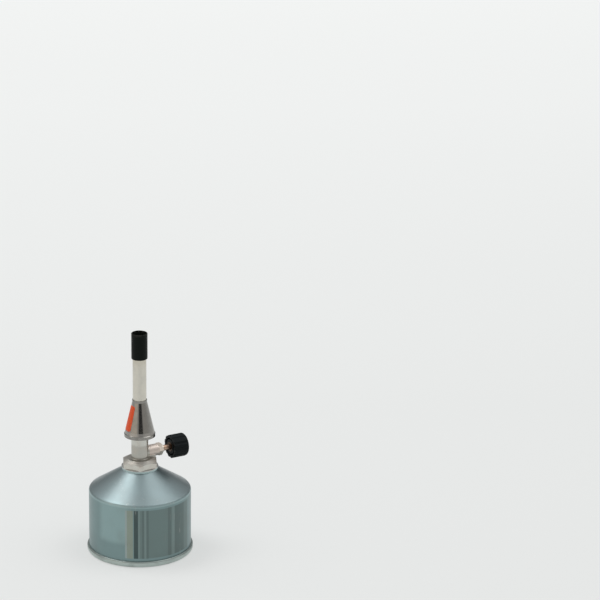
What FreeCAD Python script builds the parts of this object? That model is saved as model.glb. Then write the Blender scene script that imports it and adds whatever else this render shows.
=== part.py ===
import FreeCAD, Part
import math
import os
import re
import Sketcher

# A gas burner with a needle valve, an air bell and a flame head, screwed onto its gas cartridge.
# Millimetres: +Z runs up the burner's axis, +X along the valve spindle, z = 0 is the surface it stands on.

sizes = {
    # cartridge shell
    "can_diameter": 90.0,
    "can_wall": 0.6,
    "wall_height": 57.3,
    "shoulder_radius": 2.2,
    "cone_rise": 20.6,
    "mouth_diameter": 25.4,
    "curl_width": 3.0,
    "curl_height": 3.4,
    "curl_rise": 1.7,
    # cartridge base with the seam that the can stands on
    "seam_overhang": 1.75,
    "seam_height": 5.6,
    "seam_floor": 1.6,
    "seam_rounding": 1.4,
    "seam_heel": 2.8,
    "hook_height": 3.0,
    "hook_width": 2.0,
    "foot_rounding": 0.4,
    "dome_rise": 7.4,
    "dome_sheet": 0.7,
    # valve cup in the can's mouth
    "cup_sheet": 0.6,
    "cup_depth": 6.6,
    "flange_overhang": 0.5,
    "thread_diameter": 11.1,
    "thread_rise": 5.0,
    "cup_bore": 8.0,
    "cup_lid": 1.4,
    "lid_hole": 4.4,
    "ledge_height": 0.8,
    "ledge_width": 0.6,
    # cartridge valve
    "gasket_thickness": 1.4,
    "gasket_hole": 3.8,
    "plunger_stroke": 1.5,
    "plunger_recess": 1.0,
    "plunger_stem": 3.0,
    "collar_diameter": 6.0,
    "collar_thickness": 1.4,
    "tail_diameter": 2.4,
    "tail_drop": 1.2,
    "housing_wall": 0.6,
    "housing_floor": 1.4,
    "housing_hole": 2.8,
    "housing_port": 0.8,
    "housing_ports": 4,
    "spring_wire": 0.5,
    "spring_diameter": 5.3,
    "spring_turns": 3,
    # burner inlet
    "seal_thickness": 1.4,
    "seal_hole": 4.0,
    "filter_diameter": 9.0,
    "filter_thickness": 0.8,
    "disc_thickness": 0.9,
    "pin_diameter": 1.8,
    "disc_hole": 0.8,
    "disc_hole_circle": 2.9,
    "disc_holes": 3,
    # valve body
    "hex_flats": 29.0,
    "hex_roof": 0.96,
    "hex_face_inset": 3.2,
    "hex_chamfer": 30.0,
    "hex_turn": 4.0,
    "neck_diameter": 15.0,
    "neck_length": 25.6,
    "neck_fillet": 0.8,
    "spigot_height": 6.0,
    "boss_diameter": 10.5,
    "boss_overhang": 0.4,
    "web_width": 9.6,
    "web_reach": 13.2,
    "inlet_web": 0.56,
    "inlet_diameter": 1.4,
    "inlet_offset": 3.7,
    "outlet_diameter": 3.0,
    # needle valve
    "spindle_diameter": 5.0,
    "spindle_pitch": 0.8,
    "rest_turns": 1.25,
    "open_turns": 1.25,
    "needle_angle": 15.0,
    "needle_tip": 0.6,
    "needle_length": 3.76,
    "seat_offset": 2.6,
    "seat_diameter": 1.8,
    "chamber_diameter": 6.2,
    "chamber_length": 5.0,
    "ring_thickness": 0.6,
    "ring_depth": 0.5,
    "recess_diameter": 7.4,
    "recess_depth": 4.5,
    "packing_length": 2.4,
    "nut_flats": 10.0,
    "nut_head": 3.6,
    "nut_nose": 2.0,
    "nut_nose_diameter": 7.0,
    "nut_chamfer": 0.5,
    # knob
    "spindle_reach": 7.2,
    "spindle_grip": 9.0,
    "knob_diameter": 20.6,
    "knob_length": 15.3,
    "knob_crown": 1.2,
    "knob_rounding": 2.0,
    "knob_hub": 13.0,
    "knob_rim": 2.4,
    "knob_hollow": 3.0,
    "flute_radius": 2.2,
    "flute_depth": 0.7,
    "flute_count": 12,
    "insert_diameter": 8.4,
    "insert_length": 9.5,
    "insert_proud": 0.2,
    "grub_diameter": 3.0,
    "grub_place": 6.5,
    "grub_recess": 1.6,
    "grub_socket": 1.5,
    "grub_socket_depth": 1.5,
    # jet
    "jet_thread": 5.0,
    "jet_shank": 6.5,
    "jet_bore_depth": 8.0,
    "jet_flats": 7.0,
    "jet_head": 2.4,
    "jet_nose": 3.0,
    "jet_tip": 2.2,
    "jet_bore": 2.0,
    "jet_roof": 1.0,
    "orifice_diameter": 0.4,
    "washer_thickness": 0.6,
    "washer_width": 0.9,
    # tube
    "tube_diameter": 12.0,
    "tube_wall": 0.75,
    "tube_length": 85.0,
    "port_diameter": 7.0,
    "port_rise": 12.5,
    "pilot_diameter": 1.2,
    "pilot_rise": 1.5,
    "pilot_count": 8,
    "stop_pin_diameter": 1.6,
    "stop_pin_rise": 18.6,
    "stop_pin_reach": 0.6,
    # air bell and sleeve
    "bell_diameter": 27.4,
    "bell_height": 33.8,
    "bell_drop": 5.0,
    "bell_sheet": 0.5,
    "bell_lip": 2.0,
    "bell_rim": 2.6,
    "rim_step": 0.55,
    "sleeve_wall": 0.6,
    "sleeve_gap": 0.3,
    "air_turn": 90.0,
    # flame head
    "head_diameter": 14.2,
    "head_length": 23.4,
    "head_overlap": 18.4,
    "head_grip": 11.0,
    "head_slot": 0.55,
    "head_chamfer": 0.35,
    "grid_thickness": 2.0,
    "grid_recess": 2.0,
    "grid_hole": 1.2,
    "grid_pitch": 1.8,
    "grid_ring": 6,
    # clearances
    "fit_clearance": 0.02,
    "thread_clearance": 0.05,
    "running_clearance": 0.05,
    "face_gap": 0.02,
    "seat_gap": 0.1,
    "slot_clearance": 0.1,
}

places = {
    # cartridge shell and base
    "can_radius": "can_diameter / 2",
    "can_inside": "can_radius - can_wall",
    "mouth_radius": "mouth_diameter / 2",
    "curl_radius": "mouth_radius + curl_width",
    "cone_slope": "(cone_rise - curl_rise) / (can_radius - curl_radius)",
    "cone_sheet": "can_wall * sqrt(1 + cone_slope ^ 2)",
    "cone_top": "wall_height + cone_rise",
    "cone_inside_foot": "wall_height + cone_slope * can_wall - cone_sheet",
    "curl_bottom": "cone_top - curl_height",
    "curl_join": "curl_radius + (curl_height - curl_rise - cone_sheet) / cone_slope",
    "seam_radius": "can_radius + seam_overhang",
    "groove_outside": "can_radius + fit_clearance",
    "groove_inside": "can_inside - fit_clearance",
    "hook_top": "seam_floor + hook_height",
    "hook_inside": "groove_inside - hook_width",
    "dome_top": "hook_top + dome_rise",
    "dome_foot": "hook_top - dome_sheet",
    # valve cup and cartridge valve
    "cup_top": "cone_top + cup_sheet",
    "cup_floor": "cup_top - cup_depth",
    "cup_bottom": "cup_floor - cup_sheet",
    "cup_outside": "mouth_radius - fit_clearance",
    "cup_inside": "cup_outside - cup_sheet",
    "flange_radius": "curl_radius + flange_overhang",
    "thread_radius": "thread_diameter / 2",
    "thread_top": "cup_top + thread_rise",
    "cup_bore_radius": "cup_bore / 2",
    "lid_bottom": "thread_top - cup_lid",
    "ledge_top": "cup_bottom + ledge_height",
    "housing_radius": "cup_bore_radius - fit_clearance",
    "housing_inside": "housing_radius - housing_wall",
    "housing_seat": "ledge_top + housing_floor",
    "gasket_bottom": "lid_bottom - gasket_thickness",
    "collar_top": "gasket_bottom - plunger_stroke - face_gap",
    "collar_bottom": "collar_top - collar_thickness",
    "plunger_top": "thread_top - plunger_recess",
    "tail_bottom": "ledge_top - tail_drop",
    # burner inlet
    "burner_bottom": "cup_top + seat_gap",
    "socket_radius": "thread_radius + thread_clearance",
    "seal_bottom": "thread_top + face_gap",
    "seal_top": "seal_bottom + seal_thickness",
    "socket_top": "seal_top + face_gap",
    "filter_radius": "filter_diameter / 2",
    "filter_bottom": "socket_top + disc_thickness",
    "filter_top": "filter_bottom + filter_thickness",
    # valve body
    "hex_corner": "hex_flats / 2 / cos(30)",
    "hex_face": "hex_flats / 2 - hex_face_inset",
    "hex_top": "socket_top + hex_roof",
    "hex_corner_top": "hex_top - (hex_corner - hex_face) * tan(hex_chamfer)",
    "neck_radius": "neck_diameter / 2",
    "neck_top": "hex_top + neck_length",
    "spigot_radius": "tube_inside - fit_clearance",
    "spigot_top": "neck_top + spigot_height",
    "chamber_radius": "chamber_diameter / 2",
    "spindle_height": "filter_top + inlet_web + chamber_radius",
    "outlet_radius": "outlet_diameter / 2",
    "outlet_bottom": "spindle_height - outlet_radius",
    "boss_end": "hex_corner + boss_overhang",
    # needle valve, along X from the burner's axis
    "spindle_radius": "spindle_diameter / 2",
    "bearing_radius": "spindle_radius + running_clearance",
    "seat_radius": "seat_diameter / 2",
    "chamber_end": "seat_offset + chamber_length",
    "recess_radius": "recess_diameter / 2",
    "recess_start": "boss_end - recess_depth",
    "packing_end": "recess_start + packing_length",
    "shank_radius": "recess_radius - thread_clearance",
    "nut_face": "boss_end + face_gap",
    "nut_shoulder": "nut_face + nut_head",
    "nut_end": "nut_shoulder + nut_nose",
    "nut_corner": "nut_flats / 2 / cos(30)",
    "rest_shift": "spindle_pitch * rest_turns",
    "needle_seat": "seat_radius - fit_clearance",
    "needle_point": "seat_offset + rest_shift - (needle_seat - needle_tip / 2) / tan(needle_angle)",
    "needle_foot": "needle_point + needle_length",
    "needle_foot_radius": "needle_tip / 2 + needle_length * tan(needle_angle)",
    "ring_end": "chamber_end - spindle_pitch * open_turns - face_gap",
    "ring_start": "ring_end - ring_thickness",
    "ring_inside": "spindle_radius - ring_depth",
    "ring_outside": "chamber_radius - 2 * running_clearance",
    # knob, along X
    "knob_start": "nut_end + spindle_reach",
    "knob_end": "knob_start + knob_length",
    "knob_radius": "knob_diameter / 2",
    "knob_shoulder": "knob_end - knob_crown",
    "hollow_end": "knob_start + knob_hollow",
    "spindle_end": "knob_start + spindle_grip",
    "insert_start": "knob_start - insert_proud",
    "insert_end": "knob_start + insert_length",
    "insert_radius": "insert_diameter / 2",
    "flute_centre": "knob_radius + flute_radius - flute_depth",
    "grub_x": "knob_start + grub_place",
    "grub_foot": "spindle_radius + fit_clearance",
    "grub_head": "knob_radius - flute_depth - grub_recess",
    # jet
    "jet_bore_bottom": "spigot_top - jet_bore_depth",
    "jet_bottom": "spigot_top - jet_shank",
    "jet_shank_radius": "jet_thread / 2 - thread_clearance",
    "washer_top": "spigot_top + washer_thickness",
    "washer_inside": "jet_thread / 2 + fit_clearance",
    "jet_head_top": "washer_top + jet_head",
    "jet_corner": "jet_flats / 2 / cos(30)",
    "jet_top": "jet_head_top + jet_nose",
    # tube
    "tube_radius": "tube_diameter / 2",
    "tube_inside": "tube_radius - tube_wall",
    "tube_top": "neck_top + tube_length",
    "port_height": "neck_top + port_rise",
    "stop_pin_radius": "stop_pin_diameter / 2",
    "stop_pin_height": "neck_top + stop_pin_rise",
    "stop_pin_length": "sleeve_outside + stop_pin_reach - tube_inside",
    "pilot_height": "slot_bottom + pilot_rise",
    # air bell and sleeve
    "sleeve_inside": "tube_radius + running_clearance",
    "sleeve_outside": "sleeve_inside + sleeve_wall",
    "sleeve_bottom": "neck_top + sleeve_gap",
    "bell_bottom": "neck_top - bell_drop",
    "bell_top": "bell_bottom + bell_height",
    "bell_radius": "bell_diameter / 2",
    "rim_inside": "bell_radius - bell_sheet",
    "rim_top": "bell_bottom + bell_rim",
    "bell_foot": "bell_radius - rim_step",
    "bell_foot_height": "rim_top + rim_step",
    "lip_outside": "sleeve_inside + bell_sheet",
    "lip_foot": "bell_top - bell_lip",
    "bell_flare": "(bell_foot - lip_outside) / (lip_foot - bell_foot_height)",
    "bell_across": "bell_sheet * sqrt(1 + bell_flare ^ 2)",
    "bell_foot_inside": "bell_foot - bell_across",
    "lip_foot_inside": "lip_foot - (bell_across - bell_sheet) / bell_flare",
    "sleeve_top": "lip_foot - (sleeve_outside + fit_clearance + bell_across - lip_outside) / bell_flare",
    "slot_reach": "stop_pin_radius + slot_clearance",
    "slot_angle": "air_turn + 2 * slot_reach / tube_radius * 180 / pi",
    # flame head
    "head_bottom": "tube_top - head_overlap",
    "head_top": "head_bottom + head_length",
    "head_radius": "head_diameter / 2",
    "head_bore": "tube_radius + fit_clearance",
    "slot_bottom": "head_bottom + head_grip",
    "slot_radius": "head_bore + head_slot",
    "grid_radius": "tube_inside - fit_clearance",
    "grid_top": "tube_top - grid_recess",
    "grid_bottom": "grid_top - grid_thickness",
}

doc = FreeCAD.newDocument("cartridge_burner")
sheet = doc.addObject("Spreadsheet::Sheet", "Sizes")
for row, (alias, size) in enumerate(sizes.items(), start=1):
    sheet.set(f"A{row}", alias)
    sheet.set(f"B{row}", str(size))
    sheet.setAlias(f"B{row}", alias)
doc.recompute()


def bound(text):
    """The formula as an expression on the sheet's cells, with each place written out."""

    def written(match):
        word = match.group()
        if word in places:
            return f"({bound(places[word])})"
        return f"Sizes.{word}" if word in sizes else word

    return re.sub(r"[a-z][a-z_]*", written, text)


def value(text):
    """The formula's number for the sizes in the sheet."""
    return float(sheet.evalExpression(bound(text)))


def bind(feature, **settings):
    """Bind a feature's properties to formulas."""
    for name, text in settings.items():
        feature.setExpression(name.replace("__", "."), bound(text))


upright_to_y = FreeCAD.Rotation(FreeCAD.Vector(0, 0, 1), FreeCAD.Vector(0, 1, 0))


def new_body(label):
    """An empty body, whose label names its file."""
    body = doc.addObject("PartDesign::Body", label)
    body.Label = label
    return body


def origin_item(body, role):
    """One of the planes or axes of a body's own origin."""
    return next(item for item in body.Origin.OriginFeatures if item.Role == role)


def new_sketch(body, name, role, up="0", level="0", spin="0"):
    """An empty sketch on an origin plane, moved up and along its normal and spun about its upright axis."""
    sketch = body.newObject("Sketcher::SketchObject", name)
    sketch.AttachmentSupport = [(origin_item(body, role), "")]
    sketch.MapMode = "FlatFace"
    upright = FreeCAD.Rotation(FreeCAD.Vector(0, 1, 0), value(spin))
    sketch.AttachmentOffset = FreeCAD.Placement(FreeCAD.Vector(), upright)
    bind(sketch, AttachmentOffset__Base__y=up, AttachmentOffset__Base__z=level)
    if spin != "0":
        bind(sketch, AttachmentOffset__Rotation__Angle=spin)
    return sketch


def hold(sketch, kind, edge, end, text):
    """Hold one end of a sketch edge at a bound distance from the sketch's origin."""
    if text == "0":
        axis = -2 if kind == "DistanceX" else -1
        sketch.addConstraint(Sketcher.Constraint("PointOnObject", edge, end, axis))
        return
    index = sketch.addConstraint(Sketcher.Constraint(kind, edge, end, value(text)))
    sketch.setExpression(f"Constraints[{index}]", bound(text))


def arc_about_axis(start, end, axis):
    """The short arc between two points whose centre lies on a sketch axis, and whether it runs forward."""
    squares = end.dot(end) - start.dot(start)
    if axis == "V_Axis":
        centre = FreeCAD.Vector(0, squares / (end.y - start.y) / 2, 0)
    else:
        centre = FreeCAD.Vector(squares / (end.x - start.x) / 2, 0, 0)
    forward = (start - centre).cross(end - centre).z > 0
    first, last = (start, end) if forward else (end, start)
    circle = Part.Circle(centre, FreeCAD.Vector(0, 0, 1), (start - centre).Length)
    return Part.ArcOfCircle(circle, circle.parameter(first), circle.parameter(last)), forward


def draw_outline(sketch, points, axis="V_Axis"):
    """A closed outline through bound points. The edge after a point marked arc is centred on the axis."""
    corners = [FreeCAD.Vector(value(point[0]), value(point[1]), 0) for point in points]
    first = sketch.GeometryCount
    ends = []
    for index, point in enumerate(points):
        start, end = corners[index], corners[(index + 1) % len(points)]
        forward = True
        if len(point) == 3:
            edge, forward = arc_about_axis(start, end, axis)
        else:
            edge = Part.LineSegment(start, end)
        sketch.addGeometry(edge, False)
        ends.append((1, 2) if forward else (2, 1))
    for index, point in enumerate(points):
        after = (index + 1) % len(points)
        join = Sketcher.Constraint("Coincident", first + index, ends[index][1], first + after, ends[after][0])
        sketch.addConstraint(join)
        hold(sketch, "DistanceX", first + index, ends[index][0], point[0])
        hold(sketch, "DistanceY", first + index, ends[index][0], point[1])
        if len(point) == 3:
            line = -2 if axis == "V_Axis" else -1
            sketch.addConstraint(Sketcher.Constraint("PointOnObject", first + index, 3, line))


def draw_circle(sketch, radius, across="0", up="0"):
    """A circle with a bound radius and centre."""
    centre = FreeCAD.Vector(value(across), value(up), 0)
    circle = Part.Circle(centre, FreeCAD.Vector(0, 0, 1), value(radius))
    index = sketch.addGeometry(circle, False)
    hold(sketch, "DistanceX", index, 3, across)
    hold(sketch, "DistanceY", index, 3, up)
    constraint = sketch.addConstraint(Sketcher.Constraint("Radius", index, value(radius)))
    sketch.setExpression(f"Constraints[{constraint}]", bound(radius))


def turn(body, name, kind, points, axis="V_Axis", up="0", spin="0", angle=None):
    """Turn an outline about a sketch axis, as a Revolution or a Groove, all round or by an angle."""
    sketch = new_sketch(body, name + "_profile", "XZ_Plane", up=up, spin=spin)
    draw_outline(sketch, points, axis)
    feature = body.newObject("PartDesign::" + kind, name)
    feature.Profile = sketch
    feature.ReferenceAxis = (sketch, [axis])
    feature.Angle = 360
    if angle:
        feature.Midplane = True
        bind(feature, Angle=angle)
    doc.recompute()
    return feature


def turned_body(label, points):
    """A piece turned about the burner's axis from (radius, height) points."""
    body = new_body(label)
    turn(body, "turned", "Revolution", points)
    return body


def spindle_body(label, points):
    """A piece turned about the spindle's axis from (distance along X, radius) points."""
    body = new_body(label)
    turn(body, "turned", "Revolution", points, axis="H_Axis")
    bind(body, Placement__Base__z="spindle_height")
    return body


def ring(inside, outside, low, high):
    """The four corners of a plain ring's section."""
    return [(inside, low), (outside, low), (outside, high), (inside, high)]


def spindle_ring(inside, outside, start, end):
    """The four corners of the section of a plain ring about the spindle."""
    return [(start, inside), (end, inside), (end, outside), (start, outside)]


def pocket(body, name, sketch, length=None, both=False):
    """Cut a sketch into the body against its normal, or both ways, to a bound length or through all."""
    before = body.Shape.Volume
    feature = body.newObject("PartDesign::Pocket", name)
    feature.Profile = sketch
    feature.Midplane = both
    if length:
        bind(feature, Length=length)
    else:
        feature.Type = "ThroughAll"
    doc.recompute()
    if body.Shape.Volume >= before:
        raise ValueError(f"{body.Label}: {name} cuts nothing")
    return feature


def repeat(body, name, feature, role, count):
    """Repeat a feature evenly about an axis of the body's origin."""
    pattern = body.newObject("PartDesign::PolarPattern", name)
    pattern.Originals = [feature]
    pattern.Axis = (origin_item(body, role), [""])
    pattern.Angle = 360
    bind(pattern, Occurrences=count)
    body.Tip = pattern
    doc.recompute()
    return pattern


def round_rings(body, name, radius, rings, along="z"):
    """Round the circular edges at the given (radius, place along the axis) pairs."""
    base = body.Tip
    wanted = [(value(ring_radius), value(place)) for ring_radius, place in rings]
    names = []
    for number, edge in enumerate(base.Shape.Edges, start=1):
        if edge.Degenerated or not isinstance(edge.Curve, Part.Circle):
            continue
        place = getattr(edge.Curve.Center, along)
        if any(abs(edge.Curve.Radius - r) < 1e-4 and abs(place - p) < 1e-4 for r, p in wanted):
            names.append(f"Edge{number}")
    feature = body.newObject("PartDesign::Fillet", name)
    feature.Base = (base, names)
    bind(feature, Radius=radius)
    doc.recompute()
    return feature


def draw_hexagon(sketch, corner, angle):
    """A regular hexagon with a bound corner radius, its first corner at a bound angle."""
    angles = [f"({angle} + {step * 60})" for step in range(6)]
    draw_outline(sketch, [(f"{corner} * cos{angle}", f"{corner} * sin{angle}") for angle in angles])


def cut_flats(body, name, role, level, depth, corner, angle="0"):
    """Cut six flats, from a level down against the plane's normal."""
    sketch = new_sketch(body, name + "_profile", role, level=level)
    draw_circle(sketch, f"2 * {corner}")
    draw_hexagon(sketch, corner, angle)
    pocket(body, name, sketch, depth)


def cartridge_shell():
    """Straight wall, conical top and rolled mouth of the can."""
    body = turned_body("cartridge_shell", [
        ("can_radius", "seam_floor"),
        ("can_radius", "wall_height"),
        ("curl_radius", "cone_top - curl_rise"),
        ("curl_radius", "cone_top"),
        ("mouth_radius", "cone_top"),
        ("mouth_radius", "curl_bottom"),
        ("curl_join", "curl_bottom"),
        ("can_inside", "cone_inside_foot"),
        ("can_inside", "seam_floor"),
    ])
    round_rings(body, "shoulder", "shoulder_radius", [("can_radius", "wall_height")])
    round_rings(body, "shoulder_inside", "shoulder_radius - can_wall", [("can_inside", "cone_inside_foot")])
    return body


def cartridge_base():
    """Base dome folded round the wall's lower edge into the seam that the can stands on."""
    body = turned_body("cartridge_base", [
        ("hook_inside", "0"),
        ("seam_radius", "0"),
        ("seam_radius", "seam_height"),
        ("groove_outside", "seam_height"),
        ("groove_outside", "seam_floor"),
        ("groove_inside", "seam_floor"),
        ("groove_inside", "hook_top", "arc"),
        ("0", "dome_top"),
        ("0", "dome_top - dome_sheet", "arc"),
        ("hook_inside", "dome_foot"),
    ])
    round_rings(body, "seam_edge", "seam_rounding", [("seam_radius", "seam_height")])
    round_rings(body, "heel", "seam_heel", [("seam_radius", "0")])
    round_rings(body, "foot_edge", "foot_rounding", [("hook_inside", "0")])
    return body


def valve_cup():
    """Cup on the can's mouth, with the threaded boss in its middle."""
    return turned_body("valve_cup", [
        ("cup_bore_radius - ledge_width", "cup_bottom"),
        ("cup_outside", "cup_bottom"),
        ("cup_outside", "cone_top"),
        ("flange_radius", "cone_top"),
        ("flange_radius", "cup_top"),
        ("cup_inside", "cup_top"),
        ("cup_inside", "cup_floor"),
        ("thread_radius", "cup_floor"),
        ("thread_radius", "thread_top"),
        ("lid_hole / 2", "thread_top"),
        ("lid_hole / 2", "lid_bottom"),
        ("cup_bore_radius", "lid_bottom"),
        ("cup_bore_radius", "ledge_top"),
        ("cup_bore_radius - ledge_width", "ledge_top"),
    ])


def spring_housing():
    """Cage inside the boss, with gas ports in its floor."""
    body = turned_body("spring_housing", [
        ("housing_hole / 2", "ledge_top"),
        ("housing_radius", "ledge_top"),
        ("housing_radius", "gasket_bottom"),
        ("housing_inside", "gasket_bottom"),
        ("housing_inside", "housing_seat"),
        ("housing_hole / 2", "housing_seat"),
    ])
    sketch = new_sketch(body, "port_profile", "XY_Plane", level="housing_seat")
    draw_circle(sketch, "housing_port / 2", across="(housing_hole / 2 + housing_inside) / 2")
    port = pocket(body, "port", sketch, "housing_floor")
    repeat(body, "ports", port, "Z_Axis", "housing_ports")
    return body


def valve_gasket():
    """Gasket that the plunger's collar closes on."""
    section = ring("gasket_hole / 2", "housing_radius", "gasket_bottom", "lid_bottom")
    return turned_body("valve_gasket", section)


def valve_plunger():
    """Plunger, held open by the burner's pin."""
    return turned_body("valve_plunger", [
        ("0", "tail_bottom"),
        ("tail_diameter / 2", "tail_bottom"),
        ("tail_diameter / 2", "collar_bottom"),
        ("collar_diameter / 2", "collar_bottom"),
        ("collar_diameter / 2", "collar_top"),
        ("plunger_stem / 2", "collar_top"),
        ("plunger_stem / 2", "plunger_top"),
        ("0", "plunger_top"),
    ])


def helix_point(angle, radius, low, pitch):
    """A point of the spring's centre line and the direction of the wire there."""
    cosine, sine = math.cos(angle), math.sin(angle)
    rise = pitch / (2 * math.pi)
    place = FreeCAD.Vector(radius * cosine, radius * sine, low + rise * angle)
    return place, FreeCAD.Vector(-radius * sine, radius * cosine, rise).normalize()


def tangent_arc(start, along, end):
    """The arc that leaves a point along a direction and reaches another point."""
    chord = end - start
    middle = (start + end) / 2
    reach = chord.Length / 2 / (chord.dot(along) / chord.Length)
    corner = start + along * reach
    share = chord.Length / 2 / reach
    return Part.Arc(start, (middle + corner * share) / (1 + share), end).toShape()


def biarc(start, along, end, arriving):
    """Two arcs, tangent where they meet, between two points with given directions."""
    chord = end - start
    turning = 2 * (1 - along.dot(arriving))
    sweep = chord.dot(along + arriving)
    reach = (-sweep + (sweep ** 2 + turning * chord.dot(chord)) ** 0.5) / turning
    middle = (start + along * reach + end - arriving * reach) / 2
    joint = (end - arriving * reach - start - along * reach).normalize()
    return [tangent_arc(start, along, middle), tangent_arc(middle, joint, end)]


def plunger_spring():
    """Coil of round wire between the housing's floor and the plunger's collar."""
    wire = value("spring_wire")
    radius = value("spring_diameter / 2")
    low = value("housing_seat + face_gap + spring_wire / 2")
    high = value("collar_bottom - face_gap - spring_wire / 2")
    turns = round(value("spring_turns"))
    pitch = (high - low) / turns
    edges = []
    for half in range(2 * turns):
        start, along = helix_point(half * math.pi, radius, low, pitch)
        end, arriving = helix_point((half + 1) * math.pi, radius, low, pitch)
        edges += biarc(start, along, end, arriving)
    start, along = helix_point(0, radius, low, pitch)
    section = Part.Wire(Part.makeCircle(wire / 2, start, along))
    spring = doc.addObject("Part::Feature", "plunger_spring")
    spring.Shape = Part.Wire(edges).makePipeShell([section], True, False)
    spring.Placement = FreeCAD.Placement()
    print(f"plunger_spring: gap between turns {pitch - wire:.2f} mm")
    return spring


def coupling_seal():
    """Ring that seals the burner on the cartridge's boss."""
    return turned_body("coupling_seal", ring("seal_hole / 2", "thread_radius", "seal_bottom", "seal_top"))


def depressor():
    """Perforated disc with the pin that holds the cartridge valve open."""
    body = turned_body("depressor", [
        ("0", "plunger_top + face_gap"),
        ("pin_diameter / 2", "plunger_top + face_gap"),
        ("pin_diameter / 2", "socket_top"),
        ("filter_radius", "socket_top"),
        ("filter_radius", "filter_bottom"),
        ("0", "filter_bottom"),
    ])
    sketch = new_sketch(body, "hole_profile", "XY_Plane", level="filter_bottom")
    draw_circle(sketch, "disc_hole / 2", across="disc_hole_circle / 2")
    hole = pocket(body, "hole", sketch, "disc_thickness")
    repeat(body, "holes", hole, "Z_Axis", "disc_holes")
    return body


def inlet_filter():
    """Sintered disc on the depressor."""
    return turned_body("inlet_filter", [
        ("0", "filter_bottom"),
        ("filter_radius", "filter_bottom"),
        ("filter_radius", "filter_top"),
        ("0", "filter_top"),
    ])


def valve_body():
    """Hexagon, neck and side boss on its web in one piece, with the gas ways through it."""
    body = turned_body("valve_body", [
        ("0", "burner_bottom"),
        ("hex_corner", "burner_bottom"),
        ("hex_corner", "hex_corner_top"),
        ("hex_face", "hex_top"),
        ("neck_radius", "hex_top"),
        ("neck_radius", "neck_top"),
        ("spigot_radius", "neck_top"),
        ("spigot_radius", "spigot_top"),
        ("0", "spigot_top"),
    ])
    round_rings(body, "neck_root", "neck_fillet", [("neck_radius", "hex_top")])
    cut_flats(body, "flats", "XY_Plane", "hex_top", "hex_top - burner_bottom", "hex_corner", "hex_turn")
    sketch = new_sketch(body, "boss_profile", "YZ_Plane")
    draw_circle(sketch, "boss_diameter / 2", up="spindle_height")
    boss = body.newObject("PartDesign::Pad", "boss")
    boss.Profile = sketch
    bind(boss, Length="boss_end")
    sketch = new_sketch(body, "web_profile", "XZ_Plane")
    draw_outline(sketch, [
        ("0", "hex_corner_top"),
        ("web_reach", "hex_corner_top"),
        ("web_reach", "spindle_height"),
        ("0", "spindle_height"),
    ])
    web = body.newObject("PartDesign::Pad", "web")
    web.Profile = sketch
    web.Midplane = True
    bind(web, Length="web_width")
    turn(body, "inlet", "Groove", [
        ("0", "burner_bottom"),
        ("socket_radius", "burner_bottom"),
        ("socket_radius", "socket_top"),
        ("filter_radius + fit_clearance", "socket_top"),
        ("filter_radius + fit_clearance", "filter_top"),
        ("0", "filter_top"),
    ])
    turn(body, "outlet", "Groove", [
        ("0", "outlet_bottom"),
        ("outlet_radius", "outlet_bottom"),
        ("outlet_radius", "jet_bore_bottom"),
        ("jet_thread / 2", "jet_bore_bottom"),
        ("jet_thread / 2", "spigot_top"),
        ("0", "spigot_top"),
    ])
    turn(body, "valve_bore", "Groove", [
        ("0", "0"),
        ("boss_end", "0"),
        ("boss_end", "recess_radius"),
        ("recess_start", "recess_radius"),
        ("recess_start", "bearing_radius"),
        ("chamber_end", "bearing_radius"),
        ("chamber_end", "chamber_radius"),
        ("seat_offset", "chamber_radius"),
        ("seat_offset", "seat_radius"),
        ("0", "seat_radius"),
    ], axis="H_Axis", up="spindle_height")
    sketch = new_sketch(body, "inlet_drill_profile", "XY_Plane", level="spindle_height")
    draw_circle(sketch, "inlet_diameter / 2", across="inlet_offset")
    pocket(body, "inlet_drill", sketch, "spindle_height - filter_top")
    return body


def gland_packing():
    """Packing ring at the bottom of the boss's recess."""
    return spindle_body("gland_packing", spindle_ring(
        "bearing_radius", "recess_radius - fit_clearance", "recess_start", "packing_end"))


def gland_nut():
    """Nut that presses the packing, with a hexagon and a nose round the spindle."""
    body = spindle_body("gland_nut", [
        ("packing_end + face_gap", "bearing_radius"),
        ("nut_end", "bearing_radius"),
        ("nut_end", "nut_nose_diameter / 2 - nut_chamfer"),
        ("nut_end - nut_chamfer", "nut_nose_diameter / 2"),
        ("nut_shoulder", "nut_nose_diameter / 2"),
        ("nut_shoulder", "nut_flats / 2"),
        ("nut_shoulder - nut_chamfer", "nut_corner"),
        ("nut_face", "nut_corner"),
        ("nut_face", "shank_radius"),
        ("packing_end + face_gap", "shank_radius"),
    ])
    cut_flats(body, "flats", "YZ_Plane", "nut_shoulder", "nut_head", "nut_corner")
    return body


def needle_spindle():
    """Spindle with its needle point, a groove for the stop ring and the end that the knob grips."""
    return spindle_body("needle_spindle", [
        ("needle_point", "0"),
        ("spindle_end", "0"),
        ("spindle_end", "spindle_radius"),
        ("ring_end", "spindle_radius"),
        ("ring_end", "ring_inside - fit_clearance"),
        ("ring_start", "ring_inside - fit_clearance"),
        ("ring_start", "spindle_radius"),
        ("needle_foot", "spindle_radius"),
        ("needle_foot", "needle_foot_radius"),
        ("needle_point", "needle_tip / 2"),
    ])


def spindle_stop_ring():
    """Ring in the spindle's groove that meets the chamber's end when the valve is fully open."""
    return spindle_body("spindle_stop_ring", spindle_ring(
        "ring_inside", "ring_outside", "ring_start + fit_clearance", "ring_end - fit_clearance"))


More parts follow.
